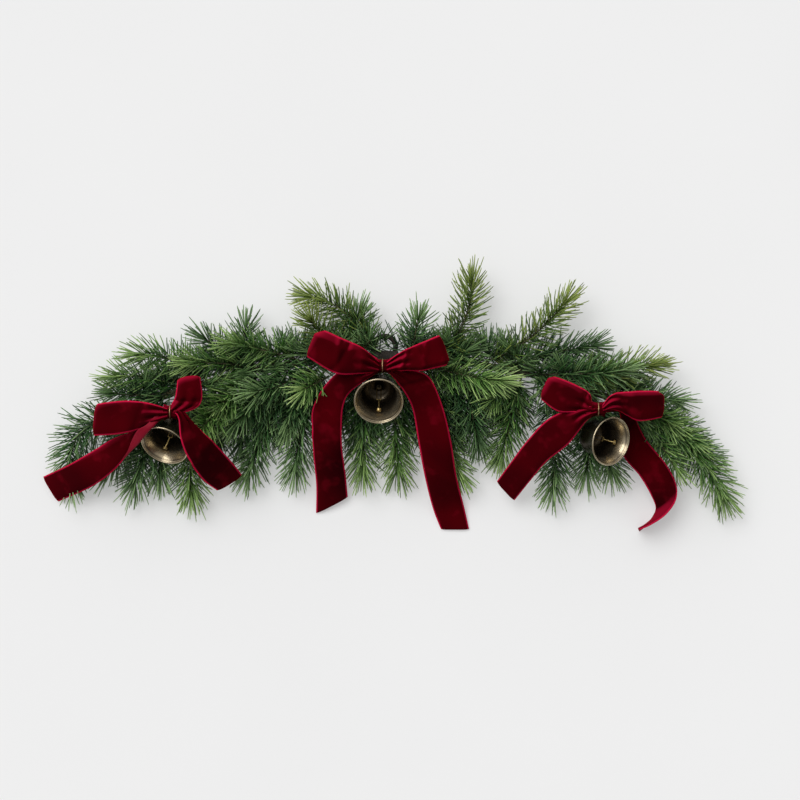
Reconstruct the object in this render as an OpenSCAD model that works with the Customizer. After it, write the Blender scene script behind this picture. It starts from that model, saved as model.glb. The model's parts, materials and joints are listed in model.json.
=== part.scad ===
// Pine swag with velvet bows and small brass bells, lying on its back.
// Origin: centre of the hanging loop. +X along the swag, +Z out of its face.

/* [Stem] */
// Radius of the arc that the stem is bent to
stem_arc_r = 670; // [600:10:760]
// Radius of the wrapped bundle of stem wires
stem_r = 4; // [3:0.5:5]
// Height of the stem's centre above the surface it lies on
stem_height = 26; // [24:1:28]
// Length of the tape binding at the middle
binding_length = 30; // [20:2:36]

/* [Hanging loop] */
// Radius of the hole that goes on the nail or hook
loop_hole_r = 9; // [8:0.5:10]
// Outer radius of the taped wire ring
loop_outer_r = 15; // [14:0.5:16]
// Thickness of the ring from front to back
loop_thick = 6; // [5:0.5:7]
// Height of the ring's centre above the surface
loop_height = 14; // [12:1:15]

/* [Pine tips] */
// Radius of the space that a tip's stiff needles fill
tip_r = 8; // [7:0.5:8]
// Radius of a tip's wire stalk
stalk_r = 1.3; // [1:0.1:1.6]

/* [Ribbon] */
// Thickness of the velvet
ribbon_thick = 1.2; // [1:0.1:1.6]
// Radius of the pinched core of a bow, across the ribbon
pinch_r = 7; // [6:0.5:7]

/* [Bells] */
// Diameter of a bell across its lip
bell_mouth_d = 53; // [51:0.5:53]
// Depth of a bell from crown to lip
bell_depth = 38; // [37:0.5:38]
// Thickness of the bell's wall
bell_wall = 1; // [0.8:0.1:1.2]
// Radius of the bell's shoulder
shoulder_r = 19; // [18.5:0.5:19]
// Length of the clapper from its hinge to the end of its head
clapper_length = 28; // [26:0.5:28]
// Radius of the clapper's head
clapper_head_r = 2.8; // [2.5:0.1:3]

/* [Hidden] */
$fn = 48;
floor_z = -loop_height;
stem_z = floor_z + stem_height;
stem_y = -12;
stem_start_x = -280;
stem_end_x = 294;
wire_r = 0.6;
eye_r = 2.7;
eye_wire_r = 0.8;
inner_eye_r = 2.2;
inner_eye_wire_r = 0.7;
crown_gap = 5;
post_r = 1;
clapper_loop_length = 14;
shoulder_h = 14;
lip_bead_r = 0.8;

// Bells: name, hinge point over the surface, lean direction, tilt from upright, clapper's angle.
BELLS = [
    ["left", [-224, -79, 42], [-0.37, -0.93], 45, 37],
    ["centre", [-6, -41, 42], [0, -1], 26, 37],
    ["right", [217, -95, 42], [0.96, -0.28], 37, 37]
];

// Bows: name, middle of the pinch, half length of the pinched core.
BOWS = [
    ["left", [-227, -71, 82], 7],
    ["centre", [-2, -22, 71], 9],
    ["right", [227, -68, 81], 7]
];

// Pine sprays: name, then for each tip where its wire joins the stem, its end, its needled length.
SPRAYS = [
    ["tip_left_end_long", [[-280, [-366, -166, 7], 120]]],
    ["tip_left_end_upper", [[-230, [-320, -50, 26], 65]]],
    ["tip_left_end_lower", [[-265, [-317, -159, 7], 75]]],
    ["tip_left_low_pair", [[-249, [-283, -177, 7], 65], [-243, [-248, -168, 7], 50]]],
    ["tip_left_side", [[-215, [-315, -28, 22], 75]]],
    ["tip_left_high", [[-190, [-290, 0, 34], 70]]],
    ["tip_left_low", [[-210, [-214, -189, 7], 70]]],
    ["tip_left_bow_front", [[-150, [-204, -111, 62], 30]]],
    ["tip_left_top_front", [[-130, [-233, -15, 52], 65]]],
    ["tip_left_top_back_pair", [[-153, [-213, 24, 22], 40], [-147, [-155, 43, 20], 40]]],
    ["tip_left_top_middle", [[-85, [-187, 9, 50], 70]]],
    ["tip_left_face_low", [[-140, [-190, -78, 58], 45]]],
    ["tip_left_face_side", [[-110, [-180, -104, 40], 50]]],
    ["tip_left_skirt_inner", [[-115, [-158, -166, 7], 85]]],
    ["tip_left_face_wide", [[-70, [-160, -60, 55], 60]]],
    ["tip_centre_front_bright", [[-25, [-112, -62, 64], 70]]],
    ["tip_centre_skirt_left_pair", [[-66, [-117, -109, 22], 45], [-60, [-107, -161, 7], 80]]],
    ["tip_centre_crest_long", [[-5, [-100, 71, 22], 85]]],
    ["tip_centre_crest_left", [[-50, [-93, 47, 45], 55]]],
    ["tip_centre_back", [[-45, [-22, 54, 18], 45]]],
    ["tip_centre_crest_middle", [[-40, [2, 20, 58], 40]]],
    ["tip_centre_low_left", [[-15, [-26, -164, 7], 85]]],
    ["tip_centre_low_right", [[10, [16, -165, 7], 85]]],
    ["tip_centre_skirt_right", [[35, [90, -166, 7], 90]]],
    ["tip_right_skirt_inner", [[90, [105, -125, 22], 65]]],
    ["tip_right_skirt_pair", [[150, [123, -139, 8], 60], [143, [103, -77, 34], 30]]],
    ["tip_centre_crest_right", [[35, [37, 39, 58], 45]]],
    ["tip_right_crest_tall", [[50, [97, 92, 30], 90]]],
    ["tip_right_back", [[40, [117, 0, 30], 60]]],
    ["tip_centre_front_right", [[25, [146, -43, 62], 80]]],
    ["tip_right_crest_wide", [[100, [210, 66, 36], 105]]],
    ["tip_right_top_back", [[125, [250, 6, 24], 80]]],
    ["tip_right_top_front", [[150, [282, -27, 52], 90]]],
    ["tip_right_top_side", [[195, [314, -16, 38], 70]]],
    ["tip_right_end_pair", [[235, [323, -40, 24], 40], [241, [340, -60, 30], 50]]],
    ["tip_right_end_middle", [[265, [342, -85, 40], 55]]],
    ["tip_right_end_wide", [[255, [367, -108, 26], 90]]],
    ["tip_right_end_side", [[285, [371, -131, 10], 70]]],
    ["tip_right_end_long", [[290, [392, -185, 7], 110]]],
    ["tip_right_end_front", [[275, [330, -152, 34], 60]]],
    ["tip_right_low_pair", [[229, [255, -163, 7], 55], [222, [222, -165, 7], 60]]],
    ["tip_right_low_long_pair", [[189, [184, -183, 7], 75], [181, [158, -61, 34], 20]]]
];

// Each strip of ribbon is a list of its two edges, from the pinch outwards.
CENTRE_STRIPS = [
    // left loop, out and back
    [[[-7, -17, 76], [-7, -28, 74]], [[-25, -2, 82], [-24, -30, 80]],
     [[-42, 6, 85], [-51, -30, 83]], [[-62, 15, 83], [-79, -14, 80]],
     [[-60, 13, 72], [-77, -15, 69]], [[-40, 5, 66], [-48, -29, 62]],
     [[-20, -7, 64], [-20, -28, 62]], [[-7, -16, 68], [-7, -28, 66]]],
    // right loop, out and back
    [[[4, -17, 76], [4, -28, 74]], [[20, -6, 82], [20, -27, 80]],
     [[38, 2, 85], [40, -27, 82]], [[57, 10, 83], [63, -22, 80]],
     [[55, 8, 72], [62, -22, 69]], [[36, 0, 66], [38, -27, 62]],
     [[17, -10, 64], [17, -27, 62]], [[4, -16, 68], [4, -28, 66]]],
    // left tail
    [[[-11, -18, 73], [-7, -28, 71]], [[-42, -24, 68], [-20, -37, 69]],
     [[-63, -42, 62], [-37, -50, 67]], [[-77, -67, 56], [-44, -64, 62]],
     [[-78, -91, 50], [-46, -85, 56]], [[-77, -120, 38], [-46, -110, 44]],
     [[-75, -151, 18], [-43, -137, 26]], [[-76, -183, 1], [-41, -165, 8]]],
    // right tail
    [[[4, -28, 71], [7, -17, 73]], [[13, -38, 70], [30, -26, 70]],
     [[24, -54, 66], [49, -35, 66]], [[31, -71, 60], [63, -67, 58]],
     [[37, -106, 50], [72, -104, 48]], [[44, -142, 32], [78, -140, 30]],
     [[53, -177, 8], [87, -175, 8]], [[62, -201, 1], [93, -201, 1]]]
];
LEFT_STRIPS = [
    // left loop, out and back
    [[[-230, -67, 86], [-230, -76, 84]], [[-251, -61, 89], [-253, -87, 87]],
     [[-275, -59, 87], [-280, -94, 84]], [[-303, -62, 81], [-306, -96, 78]],
     [[-303, -64, 70], [-305, -96, 67]], [[-278, -61, 66], [-283, -93, 63]],
     [[-254, -64, 70], [-255, -82, 68]], [[-231, -68, 78], [-231, -75, 77]]],
    // upper loop, out and back
    [[[-227, -67, 86], [-220, -72, 84]], [[-221, -56, 91], [-195, -62, 86]],
     [[-219, -40, 88], [-195, -37, 84]], [[-220, -41, 76], [-198, -38, 72]],
     [[-223, -57, 70], [-198, -60, 68]], [[-227, -68, 78], [-221, -72, 77]]],
    // left tail
    [[[-234, -70, 80], [-231, -75, 79]], [[-261, -84, 71], [-253, -83, 75]],
     [[-277, -94, 64], [-266, -97, 72]], [[-294, -101, 56], [-276, -117, 62]],
     [[-313, -112, 46], [-293, -135, 50]], [[-343, -128, 30], [-320, -153, 32]],
     [[-377, -143, 6], [-360, -170, 4]]],
    // right tail
    [[[-223, -73, 84], [-219, -70, 84]], [[-218, -79, 91], [-207, -77, 86]],
     [[-215, -99, 95], [-191, -94, 81]], [[-207, -122, 86], [-179, -107, 70]],
     [[-195, -144, 58], [-165, -125, 50]], [[-182, -156, 38], [-156, -139, 34]]]
];
RIGHT_STRIPS = [
    // left loop, out and back
    [[[221, -62, 86], [219, -71, 84]], [[217, -51, 89], [203, -71, 86]],
     [[200, -41, 88], [184, -70, 84]], [[182, -34, 84], [169, -59, 80]],
     [[184, -36, 73], [172, -59, 70]], [[203, -44, 68], [190, -69, 66]],
     [[221, -62, 78], [219, -70, 77]]],
    // right loop, out and back
    [[[231, -63, 86], [232, -70, 84]], [[241, -52, 89], [248, -70, 86]],
     [[264, -49, 90], [269, -80, 86]], [[289, -49, 84], [292, -77, 80]],
     [[289, -51, 74], [291, -76, 70]], [[266, -51, 70], [270, -76, 68]],
     [[244, -54, 74], [248, -66, 73]], [[232, -64, 78], [233, -69, 77]]],
    // left tail
    [[[222, -65, 84], [225, -73, 83]], [[200, -67, 85], [213, -82, 85]],
     [[174, -79, 77], [196, -105, 77]], [[154, -101, 62], [175, -123, 62]],
     [[138, -124, 44], [159, -144, 42]], [[123, -147, 24], [142, -168, 20]]],
    // right tail, which passes under the bell and ends on its edge
    [[[232, -65, 78], [232, -70, 76]], [[253, -66, 60], [250, -69, 56]],
     [[270, -76, 38], [258, -80, 30]], [[286, -102, 25], [260, -116, 21]],
     [[307, -128, 26], [279, -141, 22]], [[318, -150, 28], [291, -161, 22]],
     [[317, -167, 32], [299, -177, 10]], [[306, -183, 34], [295, -190, 4]],
     [[291, -194, 33], [289, -197, 1]], [[278, -200, 33], [281, -203, 1]]]
];

// Height of the arc's line at a place along the swag
function stem_line_y(x) = stem_y - stem_arc_r + sqrt(stem_arc_r * stem_arc_r - x * x);
function arc_angle(x) = acos(x / stem_arc_r);
function stem_point(x) = [x, stem_line_y(x), stem_height];

// Radius of a bell's outside at a depth below its crown
function shoulder_curve(h) = shoulder_r * pow(1 - pow(1 - h / shoulder_h, 2.6), 1 / 2.6);
function flare(h) = pow((h - shoulder_h) / (bell_depth - shoulder_h), 2.2);
function bell_r(h) =
    h < shoulder_h ? shoulder_curve(h)
    : shoulder_r + (bell_mouth_d / 2 - shoulder_r) * flare(h);

// Turns local +Z to the direction from one point to another
module aim(from, to) {
    v = to - from;
    translate(from)
        rotate([0, acos(v.z / norm(v)), atan2(v.y, v.x)])
            children();
}

// Puts things made in the surface's frame into the part's frame
module on_surface() {
    translate([0, 0, floor_z])
        children();
}

module ring(radius, thick) {
    rotate_extrude()
        translate([radius, 0])
            circle(r = thick, $fn = 24);
}

// Thin wire through a list of points
module bent_wire(points) {
    for (i = [0 : len(points) - 2])
        aim(points[i], points[i + 1])
            cylinder(r = wire_r, h = norm(points[i + 1] - points[i]), $fn = 24);
    for (point = points)
        translate(point)
            sphere(r = wire_r * 1.1, $fn = 24);
}

module stem() {
    color("#4a4232")
        translate([0, stem_y - stem_arc_r, stem_z])
            rotate([0, 0, arc_angle(stem_end_x)])
                rotate_extrude(angle = arc_angle(stem_start_x) - arc_angle(stem_end_x), $fn = 200)
                    translate([stem_arc_r, 0])
                        circle(r = stem_r);
}

module centre_binding() {
    half = asin(binding_length / 2 / stem_arc_r);
    color("#3a3128")
        translate([0, stem_y - stem_arc_r, stem_z - 2])
            rotate([0, 0, 90 - half])
                rotate_extrude(angle = 2 * half, $fn = 400)
                    translate([stem_arc_r, 0])
                        circle(r = stem_r + 4);
}

module hanging_loop() {
    chamfer = 1.5;
    half = loop_thick / 2;
    color("#33291f")
        rotate_extrude()
            polygon([
                [loop_hole_r, chamfer - half],
                [loop_hole_r + chamfer, -half],
                [loop_outer_r - chamfer, -half],
                [loop_outer_r, chamfer - half],
                [loop_outer_r, half - chamfer],
                [loop_outer_r - chamfer, half],
                [loop_hole_r + chamfer, half],
                [loop_hole_r, half - chamfer]
            ]);
}

// One pine tip: a thin stalk, then the spindle of space that its needles fill
module pine_tip(from, to, needled) {
    length = norm(to - from);
    start = max(6, length - needled - 4);
    aim(from, to)
        rotate_extrude($fn = 32)
            polygon([
                [0, 0],
                [stalk_r, 0],
                [stalk_r, start],
                [tip_r * 0.75, start + 6],
                [tip_r, start + 14],
                [tip_r, length - 12],
                [tip_r * 0.7, length - 3],
                [tip_r * 0.3, length],
                [0, length]
            ]);
}

module spray(s) {
    color("#3f6b3f")
        on_surface()
            for (tip = s[1])
                pine_tip(stem_point(tip[0]), tip[1], tip[2]);
}

// A strip of ribbon between its two edges
module strip(edges) {
    for (i = [0 : len(edges) - 2])
        hull()
            for (point = concat(edges[i], edges[i + 1]))
                translate(point)
                    cube(ribbon_thick, center = true);
}

module bow(b, strips) {
    color("#6a0010")
        on_surface() {
            for (edges = strips)
                strip(edges);
            translate(b[1])
                scale([b[2], pinch_r, pinch_r])
                    sphere(r = 1, $fn = 24);
        }
}

// Soft wire that cinches a bow, ties it to the stem and carries the bell
module tie_wire(b, bell) {
    pinch = b[1];
    hinge = bell[1];
    side = 3.6 * [-bell[2].y, bell[2].x, 0];
    back = pinch - [0, 0, pinch_r + 1];
    anchor = stem_point(pinch.x) + [0, 0, stem_r];
    knee = hinge + 0.3 * (pinch - hinge) - 8 * [bell[2].x, bell[2].y, 0];
    color("#8a7350")
        on_surface() {
            bent_wire([back, knee + side, hinge + side, hinge - side, knee - side, back]);
            bent_wire([back, anchor]);
            translate(pinch)
                rotate([0, 90, 0])
                    ring(pinch_r + wire_r, wire_r);
        }
}

// Local frame of a bell: origin at its hinge, +Z towards the mouth, swing about local Y
module at_bell(bell) {
    on_surface()
        translate(bell[1])
            rotate([0, bell[3], atan2(bell[2].y, bell[2].x)])
                children();
}

module bell_cup(bell) {
    outer = [for (h = [0 : 1 : bell_depth]) [bell_r(h), h]];
    inner = [for (h = [bell_depth : -1 : 1]) [max(post_r + 0.05, bell_r(h) - bell_wall), max(h, bell_wall)]];
    color("#7a6a4c")
        at_bell(bell)
            translate([0, 0, crown_gap])
                rotate_extrude($fn = 96) {
                    polygon(concat([[post_r + 0.05, 0]], [for (p = outer) if (p.x > post_r + 0.05) p],
                        inner, [[post_r + 0.05, bell_wall]]));
                    translate([bell_mouth_d / 2 - lip_bead_r, bell_depth - lip_bead_r])
                        circle(r = lip_bead_r, $fn = 24);
                }
}

module bell_staple(bell) {
    under_crown = crown_gap + bell_wall;
    color("#8c7a55")
        at_bell(bell) {
            rotate([90, 0, 0])
                ring(eye_r, eye_wire_r);
            translate([0, 0, eye_r])
                cylinder(r = post_r, h = under_crown + 2 - eye_r);
            translate([0, 0, crown_gap - 0.8])
                cylinder(r = 3, h = 0.8);
            translate([0, 0, under_crown])
                cylinder(r = 2.6, h = 1.2);
            translate([0, 0, inner_hinge()])
                rotate([90, 0, 0])
                    ring(inner_eye_r, inner_eye_wire_r);
        }
}

function inner_hinge() = crown_gap + bell_wall + 1.2 + inner_eye_r + 0.4;

// Long wire link, short rod and a domed head, lying against the low side of the bell
module clapper(bell) {
    link_wire = 0.55;
    head_h = 2.2;
    corner = 1;
    half_bar = inner_eye_r - corner;
    straight = clapper_loop_length - 2 * corner;
    color("#a08d62")
        at_bell(bell)
            translate([0, 0, inner_hinge()])
                rotate([0, bell[4], 0]) {
                    for (side = [-1, 1])
                        translate([0, side * inner_eye_r, corner])
                            cylinder(r = link_wire, h = straight);
                    for (end = [0, clapper_loop_length])
                        translate([0, half_bar, end])
                            rotate([90, 0, 0])
                                cylinder(r = link_wire, h = 2 * half_bar);
                    for (c = [[0, 1, 0], [1, 1, 90], [1, -1, 180], [0, -1, 270]])
                        translate([0, c[1] * half_bar, corner + c[0] * straight])
                            rotate([0, 90, 0])
                                rotate([0, 0, c[2]])
                                    rotate_extrude(angle = 90)
                                        translate([corner, 0])
                                            circle(r = link_wire, $fn = 24);
                    translate([0, 0, clapper_loop_length - 0.3])
                        cylinder(r = 0.9, h = clapper_length - clapper_loop_length - 1);
                    translate([0, 0, clapper_length - head_h])
                        cylinder(r1 = clapper_head_r, r2 = clapper_head_r * 0.8, h = head_h);
                }
}

stem();
centre_binding();
hanging_loop();
bow(BOWS[0], LEFT_STRIPS);  // bow_left
bow(BOWS[1], CENTRE_STRIPS);  // bow_centre
bow(BOWS[2], RIGHT_STRIPS);  // bow_right
for (i = [0 : len(BELLS) - 1]) {
    tie_wire(BOWS[i], BELLS[i]);
    bell_cup(BELLS[i]);
    bell_staple(BELLS[i]);
    clapper(BELLS[i]);
}
for (s = SPRAYS)
    spray(s);
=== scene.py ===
"""Looks for the pine swag: needled tips, velvet bows, antique bells, wires, floor, light and camera."""
import json
import math

import bpy
import numpy as np
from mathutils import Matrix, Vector


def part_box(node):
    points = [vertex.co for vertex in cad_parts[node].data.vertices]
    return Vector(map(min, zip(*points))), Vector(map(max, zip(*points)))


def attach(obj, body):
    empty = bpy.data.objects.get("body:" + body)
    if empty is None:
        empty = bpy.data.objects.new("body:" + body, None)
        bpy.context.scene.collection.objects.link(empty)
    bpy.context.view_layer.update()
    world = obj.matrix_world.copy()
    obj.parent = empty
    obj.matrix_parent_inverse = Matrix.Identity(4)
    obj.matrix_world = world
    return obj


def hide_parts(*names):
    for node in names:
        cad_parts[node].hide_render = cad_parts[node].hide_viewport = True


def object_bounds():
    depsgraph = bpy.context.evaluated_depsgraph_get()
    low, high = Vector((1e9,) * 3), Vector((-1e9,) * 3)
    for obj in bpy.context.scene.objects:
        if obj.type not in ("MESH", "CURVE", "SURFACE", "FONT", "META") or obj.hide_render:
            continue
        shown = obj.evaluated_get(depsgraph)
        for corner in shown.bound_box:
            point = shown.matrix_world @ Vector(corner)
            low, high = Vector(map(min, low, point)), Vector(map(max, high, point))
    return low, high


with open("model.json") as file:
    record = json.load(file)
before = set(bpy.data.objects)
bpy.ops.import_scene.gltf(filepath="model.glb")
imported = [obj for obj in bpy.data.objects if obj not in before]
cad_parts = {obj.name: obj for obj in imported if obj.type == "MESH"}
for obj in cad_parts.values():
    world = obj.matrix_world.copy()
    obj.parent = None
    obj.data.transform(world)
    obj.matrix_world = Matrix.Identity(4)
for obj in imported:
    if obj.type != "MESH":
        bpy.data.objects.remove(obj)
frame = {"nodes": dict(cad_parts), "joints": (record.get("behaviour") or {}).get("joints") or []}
cad_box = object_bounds()

MM = 0.001
NODES = frame["nodes"]
FLOOR_Z = cad_box[0].z
RIBBON_WIDTH = 34 * MM
RIBBON_THICK = 0.9 * MM
ORIGIN_HEIGHT = 14 * MM
STALK_ABOVE_FLOOR = 2.5 * MM
UP = np.array([0.0, 0.0, 1.0])
rng = np.random.default_rng(25)


# ---------------------------------------------------------------- materials

def rgb(hex_code):
    """A linear colour from an sRGB hex code."""
    parts = [int(hex_code[i:i + 2], 16) / 255 for i in (1, 3, 5)]
    linear = [c / 12.92 if c <= 0.04045 else ((c + 0.055) / 1.055) ** 2.4 for c in parts]
    return (*linear, 1.0)


class Shader:
    """A small builder for one node material."""

    def __init__(self, name):
        self.material = bpy.data.materials.new(name)
        self.material.use_nodes = True
        self.tree = self.material.node_tree
        self.bsdf = self.tree.nodes["Principled BSDF"]

    def node(self, kind, **values):
        made = self.tree.nodes.new(kind)
        for key, value in values.items():
            if key in made.inputs:
                made.inputs[key].default_value = value
            else:
                setattr(made, key, value)
        return made

    def link(self, source, target):
        self.tree.links.new(source, target)

    def set(self, **values):
        for key, value in values.items():
            self.bsdf.inputs[key.replace("_", " ")].default_value = value

    def coords(self):
        return self.node("ShaderNodeTexCoord").outputs["Object"]

    def noise(self, scale, detail=3.0):
        made = self.node("ShaderNodeTexNoise", Scale=scale, Detail=detail)
        self.link(self.coords(), made.inputs["Vector"])
        return made.outputs["Fac"]

    def attribute(self, name):
        return self.node("ShaderNodeAttribute", attribute_name=name).outputs["Fac"]

    def ramp(self, source, stops):
        made = self.node("ShaderNodeValToRGB")
        ramp = made.color_ramp
        while len(ramp.elements) < len(stops):
            ramp.elements.new(0.5)
        for element, (place, colour) in zip(ramp.elements, stops):
            element.position = place
            element.color = rgb(colour) if isinstance(colour, str) else (colour, colour, colour, 1.0)
        self.link(source, made.inputs["Fac"])
        return made.outputs["Color"]

    def math(self, operation, first, second):
        made = self.node("ShaderNodeMath", operation=operation)
        for socket, value in zip(made.inputs, (first, second)):
            if isinstance(value, (int, float)):
                socket.default_value = value
            else:
                self.link(value, socket)
        return made.outputs["Value"]

    def mix(self, factor, first, second):
        made = self.node("ShaderNodeMix", data_type="RGBA")
        for socket, value in ((made.inputs[0], factor), (made.inputs[6], first), (made.inputs[7], second)):
            if isinstance(value, str):
                socket.default_value = rgb(value)
            elif isinstance(value, (int, float)):
                socket.default_value = value
            else:
                self.link(value, socket)
        return made.outputs[2]

    def bump(self, height, strength, distance):
        made = self.node("ShaderNodeBump", Strength=strength, Distance=distance)
        self.link(height, made.inputs["Height"])
        self.link(made.outputs["Normal"], self.bsdf.inputs["Normal"])

    def colour(self, source):
        self.link(source, self.bsdf.inputs["Base Color"])


def needle_material(name, dark, middle, light):
    """Moulded needles: dark at the root, lighter and yellower towards the end of the tip."""
    s = Shader(name)
    along = s.attribute("along")
    age = s.attribute("age")
    tone = s.attribute("tone")
    blend = s.math("ADD", s.math("MULTIPLY", along, 0.45), s.math("MULTIPLY", age, 0.55))
    base = s.ramp(blend, [(0.0, dark), (0.4, middle), (1.0, light)])
    deep = s.mix(s.ramp(tone, [(0.0, 0.75), (0.55, 0.0)]), base, dark)
    pale = s.mix(s.ramp(tone, [(0.6, 0.0), (1.0, 0.7)]), deep, light)
    s.colour(s.mix(s.math("MULTIPLY", s.noise(60.0), 0.3), pale, middle))
    s.set(Roughness=0.4, Specular_IOR_Level=0.42)
    s.bump(s.noise(1400.0, 2.0), 0.12, 0.0004)
    return s.material


def bark_material():
    s = Shader("bark")
    s.colour(s.ramp(s.noise(300.0, 4.0), [(0.3, "#2a2a1a"), (0.7, "#54502f")]))
    s.set(Roughness=0.75)
    s.bump(s.noise(900.0, 4.0), 0.5, 0.0006)
    return s.material


def tape_material():
    s = Shader("floral_tape")
    s.colour(s.ramp(s.noise(420.0, 5.0), [(0.3, "#14100c"), (0.7, "#33291f")]))
    s.set(Roughness=0.8)
    s.bump(s.noise(1500.0, 4.0), 0.5, 0.0004)
    return s.material


def velvet_material():
    """Short red pile, deep face on, with a painted highlight where it curls up towards the light, painted
    shade where it turns away, and a lighter woven edge.
    """
    s = Shader("velvet")
    brushed = s.ramp(s.noise(14.0, 1.5), [(0.3, "#320005"), (0.7, "#520008")])
    crushed = s.ramp(s.noise(55.0, 2.0), [(0.56, 0.0), (0.72, 0.3)])
    brushed = s.mix(crushed, brushed, "#86081e")
    grain = s.mix(s.math("MULTIPLY", s.noise(2600.0, 2.0), 0.3), brushed, "#140002")
    # Painted shade where the ribbon turns away from the light, and a painted highlight where it turns towards
    # it.
    nap = s.attribute("nap")
    shaded = s.mix(s.ramp(nap, [(0.0, 0.6), (0.38, 0.0)]), grain, "#120002")
    lit = s.mix(s.ramp(nap, [(0.61, 0.0), (0.93, 1.0)]), shaded, "#900c28")
    edge = s.ramp(s.attribute("edge"), [(0.89, 0.0), (0.94, 1.0)])
    s.colour(s.mix(edge, lit, "#b8143a"))
    s.set(Roughness=0.95, Specular_IOR_Level=0.02, Sheen_Weight=0.5, Sheen_Roughness=0.3)
    s.bsdf.inputs["Sheen Tint"].default_value = rgb("#e00824")
    s.bump(s.noise(3000.0, 2.0), 0.3, 0.0003)
    return s.material


def satin_material():
    """The ribbon's smooth back."""
    s = Shader("ribbon_back")
    weave = s.node("ShaderNodeTexWave", Scale=900.0, Distortion=0.5)
    s.link(s.coords(), weave.inputs["Vector"])
    s.colour(s.mix(s.math("MULTIPLY", weave.outputs["Fac"], 0.3), "#840822", "#540414"))
    s.set(Roughness=0.55, Specular_IOR_Level=0.12, Sheen_Weight=0.1, Sheen_Roughness=0.4)
    s.bsdf.inputs["Sheen Tint"].default_value = rgb("#ff2850")
    s.bump(weave.outputs["Fac"], 0.1, 0.0002)
    return s.material


def brass_material():
    """Antiqued bell metal: darkest deep inside, a painted shadow in the groove inside the lip, a painted
    reflection as a bright band inside the mouth, the lip rubbed brighter, faint turning lines.
    """
    s = Shader("antique_brass")
    cloud = s.ramp(s.noise(60.0, 5.0), [(0.3, "#9a8b71"), (0.55, "#b8aa8f"), (0.8, "#d4c7ad")])
    # This mask mixes the lip rubbed bright with painted light inside: a painted shadow in the groove and a
    # painted reflection in a band.
    wear_and_painted_light = s.ramp(s.attribute("wear_and_painted_light"), [(0.0, 0.0), (0.7, 0.85), (1.0, 1.0)])
    worn_and_painted_light = s.mix(wear_and_painted_light, "#2a2219", cloud)
    spots = s.ramp(s.noise(420.0, 4.0), [(0.55, 0.0), (0.75, 1.0)])
    s.colour(s.mix(s.math("MULTIPLY", spots, 0.3), worn_and_painted_light, "#382e20"))
    s.set(Metallic=0.9)
    s.link(s.ramp(s.noise(160.0, 4.0), [(0.2, 0.15), (0.8, 0.32)]), s.bsdf.inputs["Roughness"])
    lines = s.math("SINE", s.math("MULTIPLY", s.attribute("depth"), 5200.0), 0.0)
    s.bump(s.math("ADD", s.math("MULTIPLY", lines, 0.3), s.noise(700.0, 4.0)), 0.1, 0.0003)
    return s.material


def wire_material(name, dark, light):
    s = Shader(name)
    s.colour(s.ramp(s.noise(900.0, 3.0), [(0.3, dark), (0.7, light)]))
    s.set(Metallic=1.0, Roughness=0.32)
    s.bump(s.noise(2500.0, 2.0), 0.1, 0.0002)
    return s.material


MATERIALS = {
    "bright": needle_material("needles_bright", "#20481c", "#6a9a45", "#bfd68a"),
    "fresh": needle_material("needles_fresh", "#12300f", "#4d7a35", "#abc878"),
    "blue": needle_material("needles_blue", "#0f2a12", "#426e38", "#9fbd7e"),
    "olive": needle_material("needles_olive", "#1a3212", "#587830", "#b0be64"),
    "dark": needle_material("needles_dark", "#0a200c", "#2f562c", "#7a9a60"),
    "bark": bark_material(),
    "tape": tape_material(),
    "velvet": velvet_material(),
    "satin": satin_material(),
    "brass": brass_material(),
    "bright_wire": wire_material("bright_wire", "#8d6d49", "#c9a983"),
    "dull_wire": wire_material("dull_wire", "#3b342b", "#6d6353"),
    "clapper": wire_material("clapper_brass", "#7d6b45", "#b49d69"),
}


# ---------------------------------------------------------------- mesh helpers

class MeshParts:
    """Gathers points, faces and per-point values into one mesh."""

    def __init__(self, names=()):
        self.points = []
        self.faces = []
        self.slots = []
        self.values = {name: [] for name in names}
        self.count = 0

    def add(self, points, faces, slot=0, **values):
        points = np.asarray(points, float)
        self.points.append(points)
        self.faces.extend([tuple(i + self.count for i in f) for f in faces])
        self.slots.extend([slot] * len(faces))
        for name, store in self.values.items():
            value = values.get(name, 0.0)
            store.append(np.broadcast_to(value, len(points)).astype(np.float32))
        self.count += len(points)

    def build(self, name, materials):
        mesh = bpy.data.meshes.new(name)
        mesh.from_pydata(np.vstack(self.points).tolist(), [], self.faces)
        for key, store in self.values.items():
            layer = mesh.attributes.new(key, "FLOAT", "POINT")
            layer.data.foreach_set("value", np.concatenate(store))
        for material in materials:
            mesh.materials.append(material)
        mesh.polygons.foreach_set("material_index", self.slots)
        mesh.polygons.foreach_set("use_smooth", [True] * len(mesh.polygons))
        mesh.update()
        made = bpy.data.objects.new(name, mesh)
        bpy.context.scene.collection.objects.link(made)
        return made


def unit(v):
    return v / np.linalg.norm(v, axis=-1, keepdims=True)


def square_to(direction):
    """Two unit vectors square to a direction and to each other."""
    helper = UP if abs(direction[2]) < 0.9 else np.array([1.0, 0.0, 0.0])
    first = unit(np.cross(direction, helper))
    return first, np.cross(direction, first)


def smooth_line(points, count):
    """A Catmull-Rom curve through the points, as count places spaced evenly in its parameter."""
    points = np.asarray(points, float)
    ends = 2 * points[:1] - points[1:2], 2 * points[-1:] - points[-2:-1]
    padded = np.concatenate([ends[0], points, ends[1]])
    places = np.linspace(0, len(points) - 1, count)
    index = np.minimum(places.astype(int), len(points) - 2)
    t = (places - index).reshape((-1,) + (1,) * (points.ndim - 1))
    a, b, c, d = (padded[index + k] for k in range(4))
    return 0.5 * (2 * b + (c - a) * t + (2 * a - 5 * b + 4 * c - d) * t ** 2
                  + (3 * b - a - 3 * c + d) * t ** 3)


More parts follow.
